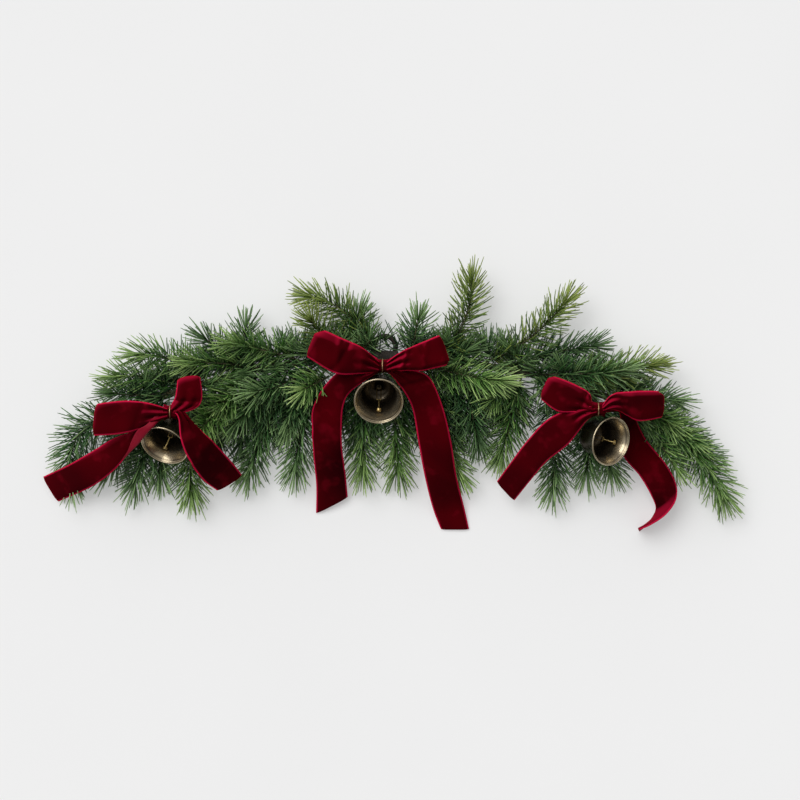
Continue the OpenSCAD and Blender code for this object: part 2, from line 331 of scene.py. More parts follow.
def ring_faces(rings, sides, closed=False):
    """Quads between rings of points. closed joins the last ring to the first."""
    faces = []
    for i in range(rings if closed else rings - 1):
        j = (i + 1) % rings
        for k in range(sides):
            n = (k + 1) % sides
            faces.append((i * sides + k, j * sides + k, j * sides + n, i * sides + n))
    return faces


def tube(parts, line, radius, sides, slot=0):
    """A closed tube along a line of points. radius is one number or one for each point."""
    line = np.asarray(line, float)
    radii = np.broadcast_to(radius, len(line))
    tangents = unit(np.gradient(line, axis=0))
    normal, _ = square_to(tangents[0])
    rings = []
    for place, tangent, r in zip(line, tangents, radii):
        normal = unit(normal - tangent * np.dot(normal, tangent))
        side = np.cross(tangent, normal)
        angles = np.arange(sides) * 2 * math.pi / sides
        rings.append(place + r * (np.outer(np.cos(angles), normal) + np.outer(np.sin(angles), side)))
    faces = [(a, d, c, b) for a, b, c, d in ring_faces(len(line), sides)]
    faces.append(tuple(range(sides))[::-1])
    faces.append(tuple((len(line) - 1) * sides + k for k in range(sides)))
    parts.add(np.vstack(rings), faces, slot)


def node_points(name):
    mesh = NODES[name].data
    co = np.zeros(len(mesh.vertices) * 3, np.float32)
    mesh.vertices.foreach_get("co", co)
    return co.reshape(-1, 3).astype(float)


def separate_solids(name):
    """The points of each separate solid in a CAD node."""
    points = node_points(name)
    keys, index = np.unique(np.round(points, 5), axis=0, return_inverse=True)
    index = index.ravel()
    parent = list(range(len(keys)))

    def root(i):
        while parent[i] != i:
            parent[i] = parent[parent[i]]
            i = parent[i]
        return i

    for edge in NODES[name].data.edges:
        a, b = root(index[edge.vertices[0]]), root(index[edge.vertices[1]])
        if a != b:
            parent[a] = b
    groups = np.array([root(i) for i in range(len(keys))])
    return [keys[groups == g] for g in np.unique(groups)]


# ---------------------------------------------------------------- bells' shape and moving space

STEM_POINTS = node_points("stem")
JOINTS = {j["name"]: j for j in frame["joints"]}


def turned(vector, axis, angle):
    """A vector turned about an axis through the origin, by an angle in radians."""
    return (vector * math.cos(angle) + np.cross(axis, vector) * math.sin(angle)
            + axis * np.dot(axis, vector) * (1 - math.cos(angle)))


SWEEP_STEPS = 11


def bell_axis(side):
    """A bell's hinge, and the direction from there to the middle of its mouth at rest."""
    hinge = np.array(JOINTS["bell_swing_" + side]["pos_m"])
    return hinge, unit(np.array(JOINTS["clapper_swing_" + side]["pos_m"]) - hinge)


def bell_sweeps():
    """For each bell, its hinge and its axis direction at several places of its swing."""
    found = []
    for side in ("left", "centre", "right"):
        swing = JOINTS["bell_swing_" + side]
        hinge, out = bell_axis(side)
        axis = unit(np.array(swing["axis"], float))
        for share in np.linspace(0, 1, SWEEP_STEPS):
            angle = math.radians(swing["range_deg"][1] * share)
            found.append((hinge, turned(out, axis, angle)))
    return found


SWEEPS = bell_sweeps()
# Radius, then depth below the crown.
BELL_SHOULDER = (19 * MM, 14 * MM)
BELL_MOUTH = (26.5 * MM, 38 * MM)
BELL_WALL = 1 * MM
LIP_BEAD = 0.8 * MM
CROWN_HOLE = 1.05 * MM
CROWN_GAP = 5 * MM
# The space that is kept clear for a bell, measured from its hinge along its axis and out from it.
BEHIND_HINGE = 2 * MM
SHOULDER_REACH = 16 * MM
SHOULDER_CLEAR = 22 * MM
FLARE_REACH = 33 * MM
FLARE_CLEAR = 28.5 * MM
BELL_REACH = 44 * MM
# Ribbon stays this far off a bell's outside. Past the lip it comes back in over the fade.
RIBBON_GAP = 1.3 * MM
LIP_MARGIN = 1 * MM
LIP_FADE = 4 * MM


def bell_radius(h):
    """Radius of a bell's outside at a depth below its crown."""
    (r, depth), (mouth_r, mouth_depth) = BELL_SHOULDER, BELL_MOUTH
    if h < depth:
        return r * (1 - (1 - h / depth) ** 2.6) ** (1 / 2.6)
    return r + (mouth_r - r) * ((h - depth) / (mouth_depth - depth)) ** 2.2


def off_the_bells(sheet):
    """Ribbon that lies against a bell at rest, moved out to touch only the outside of its wall."""
    for hinge, out in SWEEPS[::SWEEP_STEPS]:
        offset = sheet - hinge
        depth = offset @ out
        spoke = offset - depth[..., None] * out
        radius = np.linalg.norm(spoke, axis=-1)
        below = depth - CROWN_GAP
        wall = np.vectorize(bell_radius)(np.clip(below, 0, BELL_MOUTH[1])) + RIBBON_THICK / 2 + RIBBON_GAP
        past = 1 - np.clip((below - BELL_MOUTH[1] - LIP_MARGIN) / LIP_FADE, 0, 1)
        push = np.where(below > 0, np.maximum(wall - radius, 0) * past, 0)
        sheet = sheet + spoke * (push / np.maximum(radius, MM))[..., None]
    return sheet


def in_bell_space(points):
    """Which points lie where a bell is or swings."""
    hit = np.zeros(len(points), bool)
    for hinge, out in SWEEPS:
        offset = points - hinge
        depth = offset @ out
        radius = np.linalg.norm(offset - np.outer(depth, out), axis=1)
        allowed = np.clip((depth + BEHIND_HINGE) / SHOULDER_REACH, 0, 1) ** 0.5 * SHOULDER_CLEAR
        allowed = np.where(depth > FLARE_REACH, FLARE_CLEAR, allowed)
        hit |= (depth > -BEHIND_HINGE) & (depth < BELL_REACH) & (radius < allowed)
    return hit


def clear_of_bells(line):
    """Lowers the parts of a line that run where a bell swings, by 1 mm at a time and 30 mm at most."""
    for _ in range(30):
        hit = in_bell_space(line)
        if not hit.any():
            break
        near = np.convolve(hit, np.ones(3), "same") > 0
        line[near, 2] -= 1 * MM
    return line


# ---------------------------------------------------------------- pine tips

class CoverMap:
    """Lowest and highest ribbon over each small square of the surface, so that needles stay under or over."""
    CELL = 1.5 * MM
    # Points further than this under the ribbon are hidden, and aren't lifted over it.
    DEEP = 11 * MM
    CORNER = np.array([cad_box[0].x, cad_box[0].y]) - 20 * MM
    SHAPE = (600, 250)

    def __init__(self):
        self.low = np.full(self.SHAPE, np.inf)
        self.high = np.full(self.SHAPE, -np.inf)

    def cells(self, points):
        index = ((points[..., :2] - self.CORNER) / self.CELL).astype(int)
        return tuple(np.clip(index[..., k], 0, self.SHAPE[k] - 1) for k in (0, 1))

    def add(self, sheet):
        for axis in (0, 1):
            size = sheet.shape[axis]
            fine = np.linspace(0, size - 1, (size - 1) * 4 + 1)
            index = np.minimum(fine.astype(int), size - 2)
            share = (fine - index).reshape((-1, 1, 1) if axis == 0 else (1, -1, 1))
            sheet = (np.take(sheet, index, axis) * (1 - share) + np.take(sheet, index + 1, axis) * share)
        cells = self.cells(sheet)
        np.minimum.at(self.low, cells, sheet[..., 2])
        np.maximum.at(self.high, cells, sheet[..., 2])

    def widen(self):
        """Grows the covered squares by one, so that a needle's width clears the edge too."""
        for shift in ((0, 1), (0, -1), (1, 0), (-1, 0)):
            self.low = np.minimum(self.low, np.roll(self.low, shift, (0, 1)))
            self.high = np.maximum(self.high, np.roll(self.high, shift, (0, 1)))

    def press(self, points, over, gap):
        """Moves points clear of the ribbon, and says which of them found no room."""
        cells = self.cells(points)
        low, high = self.low[cells], self.high[cells]
        covered = np.isfinite(low)
        if over:
            hidden = covered & (high - points[..., 2] > self.DEEP)
            points[..., 2] = np.where(covered, np.maximum(points[..., 2], high + gap), points[..., 2])
            return hidden
        points[..., 2] = np.where(covered, np.minimum(points[..., 2], low - gap), points[..., 2])
        return covered & (low - gap < FLOOR_Z + FLOOR_GAP)


NEEDLE_STEPS = np.array([0.0, 0.33, 0.7, 0.95, 1.0])
NEEDLE_WIDTHS = np.array([0.8, 1.0, 1.0, 0.75])
NEEDLE_CORNERS = (0.0, 2.0944, 4.1888)
NEEDLE_VALUES = ("along", "age", "tone")
GOLDEN_ANGLE = 2.39996
# How many of a tip's needles spring from its very end.
END_TUFT = 14
FLOOR_GAP = 0.6 * MM
CEILING = cad_box[1].z + 1 * MM
LOOP_CLEAR = 17 * MM
COVER = CoverMap()
LOOP_CENTRE = np.array((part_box("hanging_loop")[0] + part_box("hanging_loop")[1]) / 2)


def add_needles(parts, line, per_mm, length, width, spread, young=(0.0, 1.0), over=False):
    """Needles in a spiral round a line, leaning forward and bending towards its end."""
    line = np.asarray(line, float)
    steps = np.linalg.norm(np.diff(line, axis=0), axis=1)
    travelled = np.concatenate([[0], np.cumsum(steps)])
    total = travelled[-1]
    count = int(total / MM * per_mm) + END_TUFT + 2
    share = np.minimum((np.arange(count) + rng.uniform(0, 1, count)) / (count - END_TUFT), 1.0)
    where = share * total
    roots = np.stack([np.interp(where, travelled, line[:, k]) for k in range(3)], axis=1)
    tangents = unit(np.gradient(line, axis=0))
    forward = unit(np.stack([np.interp(where, travelled, tangents[:, k]) for k in range(3)], axis=1))
    first, second = square_to(unit(line[-1] - line[0]))
    turn = np.arange(count) * GOLDEN_ANGLE + rng.uniform(-0.4, 0.4, count)
    outward = np.outer(np.cos(turn), first) + np.outer(np.sin(turn), second)
    outward = unit(outward - forward * (outward * forward).sum(1, keepdims=True))
    end_share = np.where(share >= 1.0, rng.uniform(0.1, 0.6, count), 1.0 - 0.5 * share ** 4)
    lean = np.radians(spread) * end_share * rng.uniform(0.8, 1.15, count)
    direction = unit(forward * np.cos(lean)[:, None] + outward * np.sin(lean)[:, None])
    lengths = length * rng.uniform(0.8, 1.08, count) * (1 - 0.15 * share ** 4)
    bend = rng.uniform(0.1, 0.85, count)[:, None]
    sway = rng.normal(0, 0.17, (count, 3))
    tone = rng.uniform(0, 1, count)
    across = unit(np.cross(direction, outward + 0.001))
    deep = np.cross(direction, across)
    rings = [roots + lengths[:, None] * (direction * step + (forward * bend + sway) * 0.5 * step ** 2)
             for step in NEEDLE_STEPS]
    rings = np.stack(rings, axis=1)
    stuck = COVER.press(rings, over, 1.6 * MM + rng.uniform(0, 3, (count, 1)) * MM).any(1)
    floor = FLOOR_Z + FLOOR_GAP + width / 2
    rings[..., 2] = np.maximum(rings[..., 2], floor + rng.uniform(0, 2.0, (count, 1)) * MM)
    rings[..., 2] -= 0.8 * np.maximum(rings[..., 2] - CEILING, 0)
    along_each = [rings[:, :-1] * (1 - t) + rings[:, 1:] * t for t in (0.0, 0.25, 0.5, 0.75)]
    places = np.concatenate(along_each + [rings[:, -1:]], axis=1)
    keep = ~stuck & ~in_bell_space(places.reshape(-1, 3)).reshape(count, -1).any(1)
    near_loop = (np.linalg.norm(rings[..., :2] - LOOP_CENTRE[:2], axis=2) < LOOP_CLEAR).any(1)
    right_of_loop = rings[:, -1, 0] > LOOP_CENTRE[0]
    keep &= ~near_loop | (rng.uniform(0, 1, count) < np.where(right_of_loop, 0.12, 0.6))
    faces = []
    for level in (0, 1, 2):
        for k in range(3):
            n = (k + 1) % 3
            faces.append((level * 3 + k, level * 3 + n, level * 3 + 3 + n, level * 3 + 3 + k))
    for k in range(3):
        faces.append((9 + k, 9 + (k + 1) % 3, 12))
    faces.append((2, 1, 0))
    points = []
    for level in range(4):
        r = width / 2 * NEEDLE_WIDTHS[level]
        for angle in NEEDLE_CORNERS:
            points.append(rings[:, level] + r * (math.cos(angle) * across + math.sin(angle) * deep))
    points.append(rings[:, 4])
    points = np.stack(points, axis=1)
    along = np.repeat([0, 0.25, 0.6, 0.95, 1.0], [3, 3, 3, 3, 1])
    age = young[0] + (young[1] - young[0]) * share ** 2
    for i in np.flatnonzero(keep):
        parts.add(points[i], faces, 0, along=along, age=age[i], tone=tone[i])


TINTS = {
    "bright": ["tip_centre_front_bright", "tip_left_bow_front", "tip_centre_front_right"],
    "fresh": ["tip_right_end_middle", "tip_left_face_low", "tip_left_high", "tip_right_end_wide",
              "tip_right_end_long", "tip_left_top_front", "tip_left_top_middle", "tip_centre_low_left",
              "tip_centre_low_right", "tip_centre_skirt_right", "tip_right_end_front", "tip_left_side",
              "tip_right_skirt_pair", "tip_left_low"],
    "olive": ["tip_centre_crest_long", "tip_centre_crest_left", "tip_right_crest_wide", "tip_right_top_side",
              "tip_right_crest_tall"],
    "dark": ["tip_right_skirt_inner", "tip_left_end_upper", "tip_left_top_back_pair",
             "tip_right_top_back", "tip_right_back"],
}
# Tips that lie over the ribbon, and the one with more needles than the others, by needles for each mm.
OVER = ("tip_centre_front_bright", "tip_left_face_low")
CROWDED = {"tip_left_bow_front": 3.4}
LOW_SPRAY = 10 * MM
SPRAY_NEEDLE_WIDTH = 1.4 * MM
SPRAY_SPREAD = 74
TUFT_NEEDLE_WIDTH = 1.35 * MM
# How far a tip's end is turned away from its CAD spindle, and how far its middle is bent, in mm.
TURNS = {
    "tip_left_bow_front": (-20, -14, 24),
    "tip_right_crest_tall": (8, 0, 0),
    "tip_right_crest_wide": (5, -4, 0),
    "tip_centre_crest_right": (0, 9, 0),
    "tip_right_end_wide": (-9, -3, 0),
    "tip_right_end_middle": (-8, -3, 0),
    "tip_centre_front_bright": (6, 4, 0),
}
BENDS = {
    "tip_left_end_long": (-20, 14, 4),
    "tip_left_high": (0, 9, 0),
    "tip_left_side": (-2, 6, 0),
    "tip_centre_crest_long": (2, 14, 2),
    "tip_right_crest_tall": (16, -4, 0),
    "tip_right_crest_wide": (9, -9, 0),
    "tip_right_end_long": (8, 6, 2),
    "tip_centre_skirt_left_pair": (-7, 0, 0),
}


def tint_of(name):
    for tint, names in TINTS.items():
        if name in names:
            return tint
    return "blue"


def tip_line(points, bend):
    """The bent middle line of a tip, from the stem to where its last needles spring."""
    centre = points.mean(0)
    _, _, axes = np.linalg.svd(points - centre)
    along = (points - centre) @ axes[0]
    ends = [points[along < along.min() + 1 * MM].mean(0), points[along > along.max() - 1 * MM].mean(0)]
    gaps = [np.linalg.norm(STEM_POINTS - e, axis=1).min() for e in ends]
    root, end = ends if gaps[0] < gaps[1] else ends[::-1]
    reach = np.linalg.norm(end - root) - (31 if end[1] < -155 * MM else 25) * MM
    t = np.linspace(0, 1, 16)
    line = root + np.outer(t * reach, unit(end - root)) + np.outer(4 * t * (1 - t), bend)
    line[:, 2] += 3 * MM * t ** 3
    return line


def pine_spray(name):
    parts = MeshParts(NEEDLE_VALUES)
    over = name in OVER
    for points in separate_solids(name):
        drift = rng.normal(0, 2.5, 3) * MM
        line = tip_line(points, np.array(BENDS[name]) * MM if name in BENDS else drift)
        if name in TURNS:
            line += np.outer(np.linspace(0, 1, len(line)) ** 4, np.array(TURNS[name]) * MM)
        hidden = COVER.press(line, over, 3 * MM)
        line = line[np.flatnonzero(hidden)[-1] + 1:] if over and hidden.any() else line
        line = clear_of_bells(line)
        line[:, 2] = np.maximum(line[:, 2], FLOOR_Z + STALK_ABOVE_FLOOR)
        t = np.linspace(0, 1, len(line))
        tube(parts, line, (1.3 - 0.6 * t) * MM, sides=6, slot=1)
        low = line[-1, 2] < LOW_SPRAY
        per_mm = CROWDED.get(name, 2.8 if low else 2.2)
        length = (30 if low else 27) * MM
        add_needles(parts, line[len(line) // 8:], per_mm, length, SPRAY_NEEDLE_WIDTH, SPRAY_SPREAD, over=over)
    made = parts.build("spray_" + name[4:], [MATERIALS[tint_of(name)], MATERIALS["bark"]])
    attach(made, "root")
    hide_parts(name)


# ---------------------------------------------------------------- stem, binding, hanging loop

def stem_arc():
    """The stem's middle line, from its CAD node: an arc through its two ends and its top."""
    order = np.argsort(STEM_POINTS[:, 0])
    ends = [STEM_POINTS[order[:20]].mean(0), STEM_POINTS[order[-20:]].mean(0)]
    low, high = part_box("stem")
    z = (low.z + high.z) / 2
    radius = (high.z - low.z) / 2
    top = high.y - radius
    half = (ends[1][0] - ends[0][0]) / 2
    drop = top - (ends[0][1] + ends[1][1]) / 2
    arc_r = (half ** 2 + drop ** 2) / (2 * drop)
    x = np.linspace(ends[0][0], ends[1][0], 240)
    y = top - arc_r + np.sqrt(arc_r ** 2 - x ** 2)
    return np.stack([x, y, np.full_like(x, z)], axis=1), radius


def twisted_strands(parts, line, strands, offset, strand_r, pitch):
    """Strands twisted round a line."""
    tangents = unit(np.gradient(line, axis=0))
    travelled = np.concatenate([[0], np.cumsum(np.linalg.norm(np.diff(line, axis=0), axis=1))])
    side = unit(np.cross(tangents, UP))
    for k in range(strands):
        angle = travelled / pitch * 2 * math.pi + k * 2 * math.pi / strands
        path = line + offset * (np.cos(angle)[:, None] * side + np.sin(angle)[:, None] * UP)
        tube(parts, path, strand_r, sides=7)


def make_stem():
    line, radius = stem_arc()
    parts = MeshParts()
    twisted_strands(parts, line, 5, radius * 0.58, radius * 0.42, 60 * MM)
    made = parts.build("stem_wires", [MATERIALS["bark"]])
    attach(made, "root")
    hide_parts("stem")
    tufts = MeshParts(NEEDLE_VALUES)
    for i in range(6, len(line) - 4, 5):
        for _ in range(2):
            tangent = unit(line[i] - line[i - 1]) * rng.choice([-1, 1])
            first, second = square_to(tangent)
            turn = rng.uniform(0, 2 * math.pi)
            away = first * math.cos(turn) + second * math.sin(turn)
            away[2] = abs(away[2]) * 0.6
            root = line[i] + away * radius * 0.8
            path = smooth_line([root, root + (tangent * 0.5 + away * 0.8) * 7 * MM,
                                root + (tangent * 0.9 + away * 1.2) * 14 * MM], 6)
            add_needles(tufts, path, 0.6, 25 * MM, TUFT_NEEDLE_WIDTH, 60)
    for x in np.arange(-262, 292, 12):
        if 136 < x < 180:
            continue
        at = line[np.argmin(np.abs(line[:, 0] - x * MM))]
        for down in (True, False):
            away = np.array([x / 420 + rng.normal(0, 0.15), -1.0 if down else 0.9, 0.0])
            deepest = max(at[1] + (92 if 95 < x < 190 else 114) * MM, 40 * MM)
            reach = deepest * rng.uniform(0.65, 1.0) if down else rng.uniform(10, 20) * MM
            end = at + unit(away) * reach + [0, 0, -rng.uniform(8, 14) * MM]
            path = smooth_line([at, (at + end) / 2 + [0, 0, 1 * MM], end], 12)
            COVER.press(path, False, 3 * MM)
            path[:, 2] = np.maximum(path[:, 2], FLOOR_Z + STALK_ABOVE_FLOOR)
            add_needles(tufts, path[3:], 1.8, 27 * MM, TUFT_NEEDLE_WIDTH, 66, young=(0.0, 0.8))
    made = tufts.build("stem_tufts", [MATERIALS["dark"]])
    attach(made, "root")


def make_binding():
    """Floral tape wound over the stem at the middle."""
    low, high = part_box("centre_binding")
    line, _ = stem_arc()
    z = (low.z + high.z) / 2
    inside = line[(line[:, 0] > low.x) & (line[:, 0] < high.x)]
    ends = np.array([[low.x, inside[0][1], z], [high.x, inside[-1][1], z]])
    path = smooth_line(np.vstack([ends[0], inside * [1, 1, 0] + [0, 0, z], ends[1]]), 90)
    t = np.linspace(0, 1, len(path))
    radius = (high.z - low.z) / 2 * (0.93 + 0.05 * np.abs(np.sin(t * math.pi * 6)))
    radius *= np.clip(np.minimum(t, 1 - t) * 20 + 0.72, 0, 1)
    parts = MeshParts()
    tube(parts, path, radius, sides=28)
    made = parts.build("binding_tape", [MATERIALS["tape"]])
    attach(made, "root")
    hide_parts("centre_binding")


def make_hanging_loop():
    """A ring of wire wound with tape, whose turns overlap."""
    low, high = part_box("hanging_loop")
    outer = (high.x - low.x) / 2
    middle, wire = outer - 3 * MM, 3 * MM
    around, sides, turns = 180, 16, 22
    points = []
    for i in range(around):
        a = 2 * math.pi * i / around
        for k in range(sides):
            b = 2 * math.pi * k / sides
            ridge = ((a * turns + b) / (2 * math.pi)) % 1.0
            r = wire * (0.9 + 0.09 * ridge)
            points.append([(middle + r * math.cos(b)) * math.cos(a), (middle + r * math.cos(b)) * math.sin(a),
                           r * math.sin(b)])
    parts = MeshParts()
    parts.add(points, ring_faces(around, sides, closed=True))
    made = parts.build("loop_tape", [MATERIALS["tape"]])
    made.location = (low + high) / 2
    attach(made, "root")
    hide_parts("hanging_loop")


# ---------------------------------------------------------------- bows

# Each strip is a list of its two edges, in mm over the surface. A loop's strip runs out and back.
BOWS = {
    "centre": [
        [[[-7, -17, 76], [-7, -28, 74]], [[-25, -2, 82], [-24, -30, 80]],
         [[-42, 6, 85], [-51, -30, 83]], [[-62, 15, 83], [-79, -14, 80]],
         [[-60, 13, 72], [-77, -15, 69]], [[-40, 5, 66], [-48, -29, 62]],
         [[-20, -7, 64], [-20, -28, 62]], [[-7, -16, 68], [-7, -28, 66]]],
        [[[4, -17, 76], [4, -28, 74]], [[20, -6, 82], [20, -27, 80]],
         [[38, 2, 85], [40, -27, 82]], [[57, 10, 83], [63, -22, 80]],
         [[55, 8, 72], [62, -22, 69]], [[36, 0, 66], [38, -27, 62]],
         [[17, -10, 64], [17, -27, 62]], [[4, -16, 68], [4, -28, 66]]],
        [[[-11, -18, 73], [-7, -28, 71]], [[-42, -24, 68], [-20, -37, 69]],
         [[-63, -42, 62], [-37, -50, 67]], [[-77, -67, 56], [-44, -64, 62]],
         [[-78, -91, 50], [-46, -85, 56]], [[-77, -120, 38], [-46, -110, 44]],
         [[-75, -151, 18], [-43, -137, 26]], [[-76, -183, 1], [-41, -165, 8]]],
        [[[4, -28, 71], [7, -17, 73]], [[13, -38, 70], [30, -26, 70]],
         [[24, -54, 66], [49, -35, 66]], [[31, -71, 60], [63, -67, 58]],
         [[37, -106, 50], [72, -104, 48]], [[44, -142, 32], [78, -140, 30]],
         [[53, -177, 8], [87, -175, 8]], [[62, -201, 1], [93, -201, 1]]],
    ],
    "left": [
        [[[-230, -67, 86], [-230, -76, 84]], [[-251, -61, 89], [-253, -87, 87]],
         [[-275, -59, 87], [-280, -94, 84]], [[-303, -62, 81], [-306, -96, 78]],
         [[-303, -64, 70], [-305, -96, 67]], [[-278, -61, 66], [-283, -93, 63]],
         [[-254, -64, 70], [-255, -82, 68]], [[-231, -68, 78], [-231, -75, 77]]],
        [[[-227, -67, 86], [-220, -72, 84]], [[-221, -56, 91], [-195, -62, 86]],
         [[-219, -40, 88], [-195, -37, 84]], [[-220, -41, 76], [-198, -38, 72]],
         [[-223, -57, 70], [-198, -60, 68]], [[-227, -68, 78], [-221, -72, 77]]],
        [[[-234, -70, 80], [-231, -75, 79]], [[-261, -84, 71], [-253, -83, 75]],
         [[-277, -94, 64], [-266, -97, 72]], [[-294, -101, 56], [-276, -117, 62]],
         [[-313, -112, 46], [-293, -135, 50]], [[-343, -128, 30], [-320, -153, 32]],
         [[-377, -143, 6], [-360, -170, 4]]],
        [[[-223, -73, 84], [-219, -70, 84]], [[-218, -79, 91], [-207, -77, 86]],
         [[-215, -99, 95], [-191, -94, 81]], [[-207, -122, 86], [-179, -107, 70]],
         [[-195, -144, 58], [-165, -125, 50]], [[-182, -156, 38], [-156, -139, 34]]],
    ],
    "right": [
        [[[221, -62, 86], [219, -71, 84]], [[217, -51, 89], [203, -71, 86]],
         [[200, -41, 88], [184, -70, 84]], [[182, -34, 84], [169, -59, 80]],
         [[184, -36, 73], [172, -59, 70]], [[203, -44, 68], [190, -69, 66]],
         [[221, -62, 78], [219, -70, 77]]],
        [[[231, -63, 86], [232, -70, 84]], [[241, -52, 89], [248, -70, 86]],
         [[264, -49, 90], [269, -80, 86]], [[289, -49, 84], [292, -77, 80]],
         [[289, -51, 74], [291, -76, 70]], [[266, -51, 70], [270, -76, 68]],
         [[244, -54, 74], [248, -66, 73]], [[232, -64, 78], [233, -69, 77]]],
        [[[222, -65, 84], [225, -73, 83]], [[200, -67, 85], [213, -82, 85]],
         [[174, -79, 77], [196, -105, 77]], [[154, -101, 62], [175, -123, 62]],
         [[138, -124, 44], [159, -144, 42]], [[123, -147, 24], [142, -168, 20]]],
        [[[232, -65, 78], [232, -70, 76]], [[253, -66, 60], [250, -69, 56]],
         [[270, -76, 38], [258, -80, 30]], [[286, -102, 25], [260, -116, 21]],
         [[307, -128, 26], [279, -141, 22]], [[318, -150, 28], [291, -161, 22]],
         [[317, -167, 32], [299, -177, 10]], [[306, -183, 34], [295, -190, 4]],
         [[291, -194, 33], [289, -197, 1]], [[278, -200, 33], [281, -203, 1]]],
    ],
}
ACROSS = 20
PLEATS = 2.5


def from_surface(points):
    """Points in mm over the surface, as metres in the part's frame."""
    return (np.array(points, float) - [0, 0, ORIGIN_HEIGHT / MM]) * MM


def painted_light_of(out):
    """Painted light for the velvet, from how far the surface turns towards the light's side: 0.5 when level,
    1 when it faces the light, 0 when it faces away.
    """
    return 0.5 + 0.5 * np.clip(out @ unit(np.array([-0.45, 0.9, 0.0])), -1, 1)


def two_sided(parts, sheet, out, front, slots, **values):
    """A sheet with the ribbon's thickness. slots are the materials of its face, back and rim."""
    count, wide = sheet.shape[:2]
    total = count * wide
    points = np.vstack([(sheet + out * RIBBON_THICK / 2).reshape(-1, 3),
                        (sheet - out * RIBBON_THICK / 2).reshape(-1, 3)])
    face, back, rim = [], [], []
    for i in range(count - 1):
        for k in range(wide - 1):
            quad = (i * wide + k, i * wide + k + 1, (i + 1) * wide + k + 1, (i + 1) * wide + k)[::front]
            face.append(quad)
            back.append(tuple(q + total for q in quad[::-1]))
        for k, turn in ((0, 1), (wide - 1, -1)):
            a, b = i * wide + k, (i + 1) * wide + k
            rim.append((a, b, b + total, a + total)[::turn * front])
    for i, turn in ((0, -1), (count - 1, 1)):
        for k in range(wide - 1):
            a, b = i * wide + k, i * wide + k + 1
            rim.append((a, b, b + total, a + total)[::turn * front])
    base = parts.count
    parts.add(points, face, slots[0], **values)
    for extra, slot in ((back, slots[1]), (rim, slots[2])):
        parts.faces.extend([tuple(i + base for i in f) for f in extra])
        parts.slots.extend([slot] * len(extra))


def ribbon_strip(parts, edges, creases=(), ridge=(0.5, 0.0)):
    """One run of ribbon, velvet side up where it starts: cambered, and pleated where it is pinched."""
    edges = from_surface(edges)
    count = (len(edges) - 1) * 15 + 1
    rails = smooth_line(edges, count)
    left, across = rails[:, 0], rails[:, 1] - rails[:, 0]
    middle = rails.mean(1)
    tangent = unit(np.gradient(middle, axis=0))
    chord = np.linalg.norm(across, axis=1)
    raw_normal = np.cross(across, tangent)
    front = 1 if raw_normal[:count // 2, 2].sum() > 0 else -1
    normal = unit(raw_normal) * front
    travelled = np.concatenate([[0], np.cumsum(np.linalg.norm(np.diff(middle, axis=0), axis=1))])
    is_loop = np.linalg.norm(middle[-1] - middle[0]) < 20 * MM
    near = np.minimum(travelled, travelled[-1] - travelled) if is_loop else travelled
    slack = np.sqrt(np.maximum(0, RIBBON_WIDTH ** 2 - chord ** 2)) / (4 * PLEATS)
    pleat = slack * np.clip(1.4 - near / (24 * MM), 0, 1)
    calm = np.clip(near / (20 * MM), 0, 1)
    phase = rng.uniform(0, 6.28)
    wave = rng.uniform(0.4, 1.0) * MM
    u = np.linspace(0, 1, ACROSS + 1)
    sheet = []
    for i in range(count):
        camber = 2.4 * MM * (1 - (2 * u - 1) ** 4)
        folds = pleat[i] * np.sin(2 * math.pi * PLEATS * u + phase)
        ripple = wave * np.sin(travelled[i] / (21 * MM) + phase + 2.2 * u)
        ripple = ripple + ridge[1] * MM * np.minimum(u / ridge[0], (1 - u) / (1 - ridge[0])) * calm[i]
        for place, slant, depth, width in creases:
            ripple = ripple + depth * MM * np.exp(-((travelled[i] / MM - place - slant * u) / width) ** 2)
        sheet.append(left[i] + np.outer(u, across[i]) + np.outer(camber + folds + ripple, normal[i]))
    sheet = np.array(sheet)
    sheet = off_the_bells(sheet)
    sheet[..., 2] = np.maximum(sheet[..., 2], FLOOR_Z + 1.0 * MM)
    COVER.add(sheet)
    out = unit(np.cross(np.gradient(sheet, axis=1), np.gradient(sheet, axis=0))) * front
    edge = np.tile(np.abs(2 * u - 1), count)
    # Painted light: brighter where the ribbon faces the light, darker where it faces away; on tails it fades
    # to half towards the free end.
    nap = painted_light_of(out)
    if not is_loop:
        nap = 0.5 + (nap - 0.5) * np.interp(travelled / travelled[-1], [0.8, 1.0], [1.0, 0.5])[:, None]
    nap = nap.ravel()
    two_sided(parts, sheet, out, front, (0, 1, 2), edge=np.tile(edge, 2), nap=np.tile(nap, 2))
    return travelled[-1]


def pinched_core(parts, centre, half):
    """The gathered ribbon under the wire, fluted and narrowest in the middle."""
    rings, sides = 17, 54
    t = np.linspace(-1, 1, rings)
    angles = np.arange(sides) * 2 * math.pi / sides
    points = []
    for place in t:
        flutes = 1 + 0.09 * np.sin(9 * angles + 1.5 * place) + 0.04 * np.sin(4 * angles - 2 * place)
        radius = (6.3 + 2.2 * place ** 2) * MM * flutes * (0.35 if abs(place) == 1 else 1)
        points.append(np.stack([np.full(sides, place * half), radius * np.cos(angles),
                                radius * np.sin(angles)], axis=1) + centre)
    faces = ring_faces(rings, sides)
    faces.append(tuple(range(sides)))
    faces.append(tuple((rings - 1) * sides + k for k in range(sides))[::-1])
    away = np.vstack(points) - centre
    # Painted light on the gathered core, from how its flutes face the light, scaled down so the knot is
    # painted darker.
    parts.add(np.vstack(points), faces, 0, edge=0.0, nap=painted_light_of(unit(away * [0.2, 1, 1])) * 0.8)


